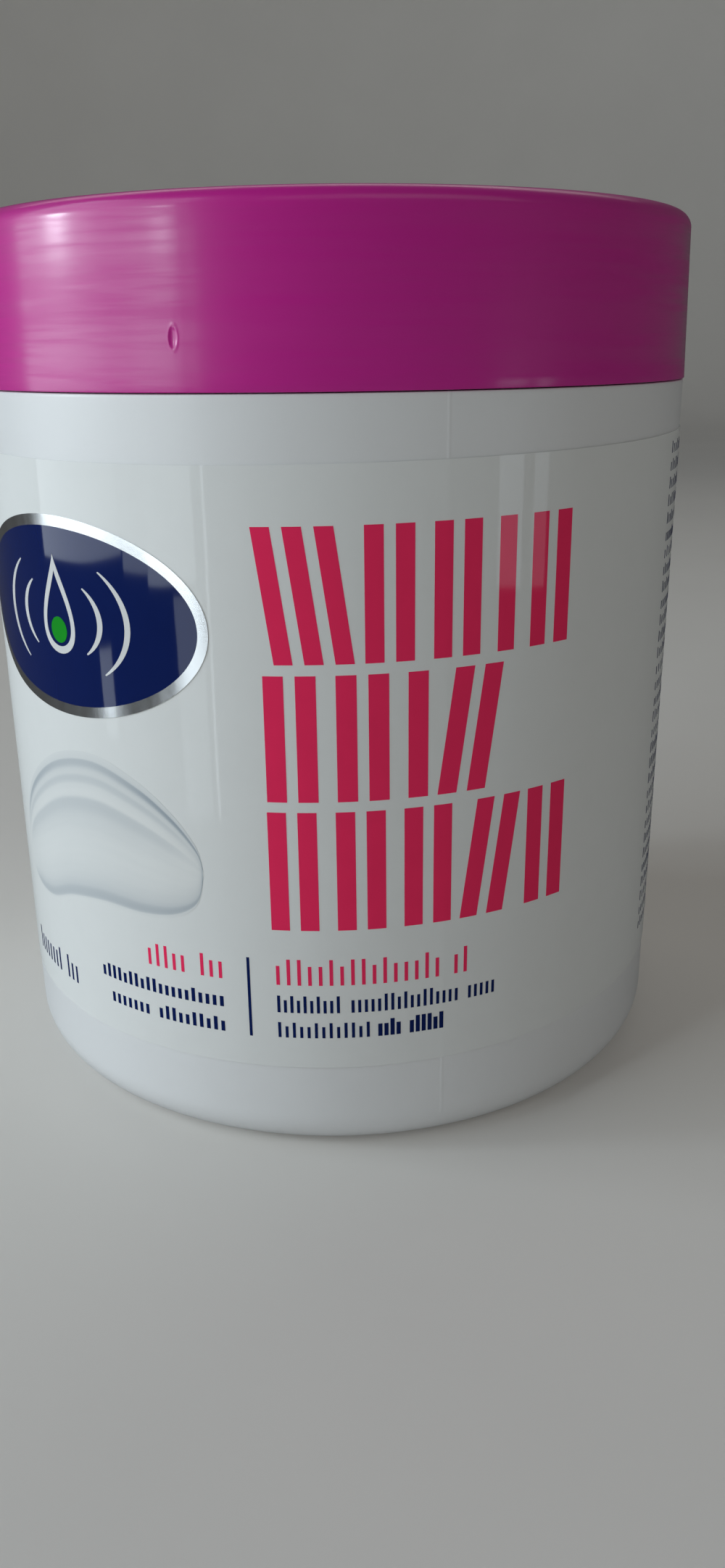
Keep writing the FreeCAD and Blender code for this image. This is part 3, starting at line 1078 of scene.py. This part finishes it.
class CREAMJAR_OT_lid(bpy.types.Operator):
    """Build the lid with its thread, bead and small dent"""

    bl_idname = "cream_jar.lid"
    bl_label = "Lid"

    def execute(self, context):
        sizes = settings("lid")
        edge = settings("body").edge_rounding
        top = LID_HIGH.z
        open_edge = LID_LOW.z - LID_DROP
        panel = top - sizes.panel_depth
        ceiling = LINER_HIGH.z
        bead_top = LINER_LOW.z - sizes.liner_play
        soft = 0.12 * MM
        outline = [(0, panel)]
        outline += [(sizes.panel_radius * index / 10, panel) for index in range(1, 10)]
        outline += [(sizes.panel_radius - soft, panel), (sizes.panel_radius + soft, panel + soft)]
        outline += [(sizes.panel_radius + sizes.panel_depth - soft, top - soft)]
        outline += [(sizes.panel_radius + sizes.panel_depth + soft, top)]
        corner_radius = self.skirt_radius(top - sizes.rounding)
        outline += arc((corner_radius - sizes.rounding, top - sizes.rounding), sizes.rounding, 90, 0, 14)
        fine_reach = 1.6 * sizes.dent_half_height
        fine_low = sizes.dent_height - fine_reach
        fine_high = sizes.dent_height + fine_reach
        heights = [top - sizes.rounding - 1.2 * MM * index for index in range(1, 7)]
        heights = [height for height in heights if height > fine_high + 0.3 * MM]
        heights += [fine_high - (fine_high - fine_low) * index / 24 for index in range(25)]
        heights += [fine_low - 1.0 * MM, open_edge + 1.2 * MM]
        outline += [(self.skirt_radius(height), height) for height in heights]
        outline += arc((LID_HIGH.x - edge / 4, open_edge + edge / 4), edge / 4, 0, -90, 4)
        outline += [(sizes.bore_radius + edge, open_edge), (sizes.bore_radius, open_edge + 2 * edge)]
        outline += [(sizes.bore_radius, bead_top - sizes.bead_width)]
        outline += [(sizes.bead_radius, bead_top - sizes.bead_width / 2)]
        outline += [(sizes.bead_radius, bead_top - sizes.bead_width / 6)]
        outline += [(sizes.bore_radius, bead_top), (sizes.bore_radius, ceiling), (0, ceiling)]
        outline.reverse()
        dent_reach = 2.2 * sizes.dent_half_width / LID_HIGH.x
        extra = [(sizes.dent_bearing, dent_reach, dent_reach / 12)]
        bearings = fine_bearings(-math.pi, math.pi, 3 * MM, extra)
        points, faces = lathe(outline, bearings, self.press)
        thread = settings("thread")
        add_ridges(points, faces, sizes.bore_radius, False, thread.lid_low, thread.lid_turns)
        piece = piece_from("lid_moulding", points, faces, magenta_moulding(), "lid")
        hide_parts("lid_shell")
        return {"FINISHED"}

    def skirt_radius(self, height):
        share = (height - LID_LOW.z) / (LID_HIGH.z - LID_LOW.z)
        return LID_HIGH.x + (settings("lid").top_radius - LID_HIGH.x) * share

    def press(self, here, radius, height):
        """Slow waves of the moulded skirt, and the small upright dent."""
        sizes = settings("lid")
        if radius < sizes.bore_radius + 0.7 * MM or height > LID_HIGH.z - sizes.rounding:
            return 0
        slow = 0.010 * MM * math.sin(7 * here + 1.3)
        slow += 0.006 * MM * math.sin(19 * here + 2.0 + 90 * height)
        run = turn_between(here, sizes.dent_bearing) * LID_HIGH.x / sizes.dent_half_width
        rise = (height - sizes.dent_height) / sizes.dent_half_height
        away = run * run + rise * rise
        dent = sizes.dent_depth * max(0.0, 1 - away) ** 0.75
        lip = 0.02 * MM * math.exp(-((math.sqrt(away) - 1.15) / 0.25) ** 2)
        return slow - dent + lip


class CREAMJAR_OT_liner(bpy.types.Operator):
    """Give the foam liner its finish"""

    bl_idname = "cream_jar.liner"
    bl_label = "Foam liner"

    def execute(self, context):
        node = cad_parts["lid_liner"]
        node.data.materials.clear()
        node.data.materials.append(foam())
        return {"FINISHED"}


# --- Stage -----------------------------------------------------------------------------------


LIGHTS = (
    # name, colour, strength, share of it, bearing and width in degrees, low and high in metres
    ("window_wide", "daylight", "window_strength", 0.62, -85.5, 36, -0.055, 1.05),
    ("window_gap", "daylight", "window_strength", 0.55, -63, 9, -0.06, 1.0),
    ("window_narrow", "daylight", "window_strength", 0.74, -51, 15, -0.07, 1.0),
    ("window_low", "daylight", "window_strength", 0.45, -46.5, 9, -0.25, -0.08),
    ("window_speck", "daylight", "window_strength", 0.6, -77, 5, -0.19, -0.12),
    ("window_edge", "daylight", "window_strength", 1.2, -39.6, 1.0, -0.25, 0.2),
    ("glint_wide", "daylight", "window_strength", 13.0, -85, 7, 0.20, 0.28),
    ("glint_narrow", "daylight", "window_strength", 4.0, -48, 5, 0.20, 0.30),
    ("side_wide", "evening", "side_strength", 1.0, 54, 9, -0.08, 0.06),
    ("side_narrow", "evening", "side_strength", 0.8, 65, 5, -0.08, 0.06),
    ("fill_high", "lamplight", "fill_strength", 1.0, 20, 100, 0.55, 1.15),
    ("back_high", "lamplight", "back_strength", 1.0, 180, 120, 0.8, 1.5),
)


FLOOR_RINGS = (0.1, 0.25, 0.45, 0.7)  # shares of the level floor's reach


class CREAMJAR_OT_stage(bpy.types.Operator):
    """Set the floor, the soft light and the camera"""

    bl_idname = "cream_jar.stage"
    bl_label = "Stage"

    def execute(self, context):
        self.floor()
        for light in LIGHTS:
            self.light(*light)
        self.sky(context)
        self.camera(context)
        return {"FINISHED"}

    def floor(self):
        """A level floor that curves up into a wall all round."""
        stage = settings("stage")
        reach = stage.floor_reach
        bend = stage.floor_bend
        outline = [(reach * share, 0.0) for share in FLOOR_RINGS]
        outline += arc((reach, bend), bend, -90, 0, 12)
        outline.append((reach + bend, stage.wall_height))
        count = 96
        points = [(0, 0, 0)]
        for radius, height in outline:
            for index in range(count):
                here = FULL_TURN * index / count
                points.append((radius * math.sin(here), -radius * math.cos(here), height))
        faces = []
        for index in range(count):
            after = (index + 1) % count
            faces.append((0, 1 + index, 1 + after))
            for row in range(len(outline) - 1):
                low = 1 + row * count
                faces.append((low + index, low + count + index, low + count + after, low + after))
        mesh = bpy.data.meshes.new("floor")
        mesh.from_pydata(points, [], faces)
        mesh.validate()
        mesh.shade_smooth()
        rgb = settings("colours").floor
        finish = Finish("pale_floor", IOR=1.45, Emission_Color=rgb, Emission_Strength=stage.floor_glow)
        position = finish.place()
        finish.cloudy(position, rgb, 9.0, 0.94, 1.04, 5.0)
        finish.rough(0.55 + 0.1 * finish.noise(position, 60.0))
        mesh.materials.append(finish.material)
        floor = bpy.data.objects.new("floor", mesh)
        floor.visible_glossy = False
        bpy.context.scene.collection.objects.link(floor)

    def light(self, name, rgb, strength, share, bearing_degrees, width_degrees, low, high):
        """An upright panel of soft light that faces the jar."""
        stage = settings("stage")
        here = math.radians(bearing_degrees)
        data = bpy.data.lights.new(name, "AREA")
        data.shape = "RECTANGLE"
        data.size = stage.light_distance * math.radians(width_degrees)
        data.size_y = high - low
        data.energy = getattr(stage, strength) * share * math.pi * data.size * data.size_y
        data.color = getattr(settings("colours"), rgb)
        light = bpy.data.objects.new(name, data)
        place = Vector((math.sin(here), -math.cos(here), 0)) * stage.light_distance
        place.z = (low + high) / 2
        face_jar = Matrix.Rotation(here, 4, "Z") @ Matrix.Rotation(math.pi / 2, 4, "X")
        light.matrix_world = Matrix.Translation(place) @ face_jar
        light.visible_camera = False
        bpy.context.scene.collection.objects.link(light)

    def sky(self, context):
        world = bpy.data.worlds.new("sky")
        world.use_nodes = True
        background = world.node_tree.nodes["Background"]
        background.inputs["Color"].default_value = (*settings("colours").sky, 1)
        background.inputs["Strength"].default_value = settings("stage").sky_strength
        context.scene.world = world

    def camera(self, context):
        stage = settings("stage")
        data = bpy.data.cameras.new("camera")
        data.lens = stage.camera_lens
        data.sensor_width = 36.0
        data.clip_start = 0.005
        camera = bpy.data.objects.new("camera", data)
        turn = Matrix.Rotation(-stage.camera_turn, 4, "Z")
        tilt = Matrix.Rotation(math.pi / 2 - stage.camera_dip, 4, "X")
        lean = Matrix.Rotation(-stage.camera_roll, 4, "Z")
        place = Matrix.Translation((0, -stage.camera_distance, stage.camera_height))
        camera.matrix_world = place @ turn @ tilt @ lean
        context.scene.collection.objects.link(camera)
        context.scene.camera = camera
        context.scene.view_settings.view_transform = "Standard"


class CREAMJAR_PT_panel(bpy.types.Panel):
    """The jar's settings and build steps"""

    bl_idname = "CREAMJAR_PT_panel"
    bl_label = "Cream Jar"
    bl_space_type = "VIEW_3D"
    bl_region_type = "UI"
    bl_category = "Cream Jar"

    def draw(self, context):
        for name, group in GROUPS.items():
            box = self.layout.box()
            box.label(text=group.__name__)
            for title in group.__annotations__:
                box.prop(getattr(context.scene, name), title)
        for operator in OPERATORS:
            self.layout.operator(operator.bl_idname)


OPERATORS = (
    CREAMJAR_OT_body,
    CREAMJAR_OT_cream,
    CREAMJAR_OT_label,
    CREAMJAR_OT_print,
    CREAMJAR_OT_artwork,
    CREAMJAR_OT_badge,
    CREAMJAR_OT_lid,
    CREAMJAR_OT_liner,
    CREAMJAR_OT_stage,
)


def register():
    for name, group in GROUPS.items():
        bpy.utils.register_class(group)
        setattr(bpy.types.Scene, name, PointerProperty(type=group))
    for operator in OPERATORS:
        bpy.utils.register_class(operator)
    bpy.utils.register_class(CREAMJAR_PT_panel)


def unregister():
    bpy.utils.unregister_class(CREAMJAR_PT_panel)
    for operator in reversed(OPERATORS):
        bpy.utils.unregister_class(operator)
    for name, group in GROUPS.items():
        delattr(bpy.types.Scene, name)
        bpy.utils.unregister_class(group)


def main():
    register()
    for operator in OPERATORS:
        step = operator.bl_idname.split(".")[1]
        getattr(bpy.ops.cream_jar, step)()


if __name__ == "__main__":
    main()
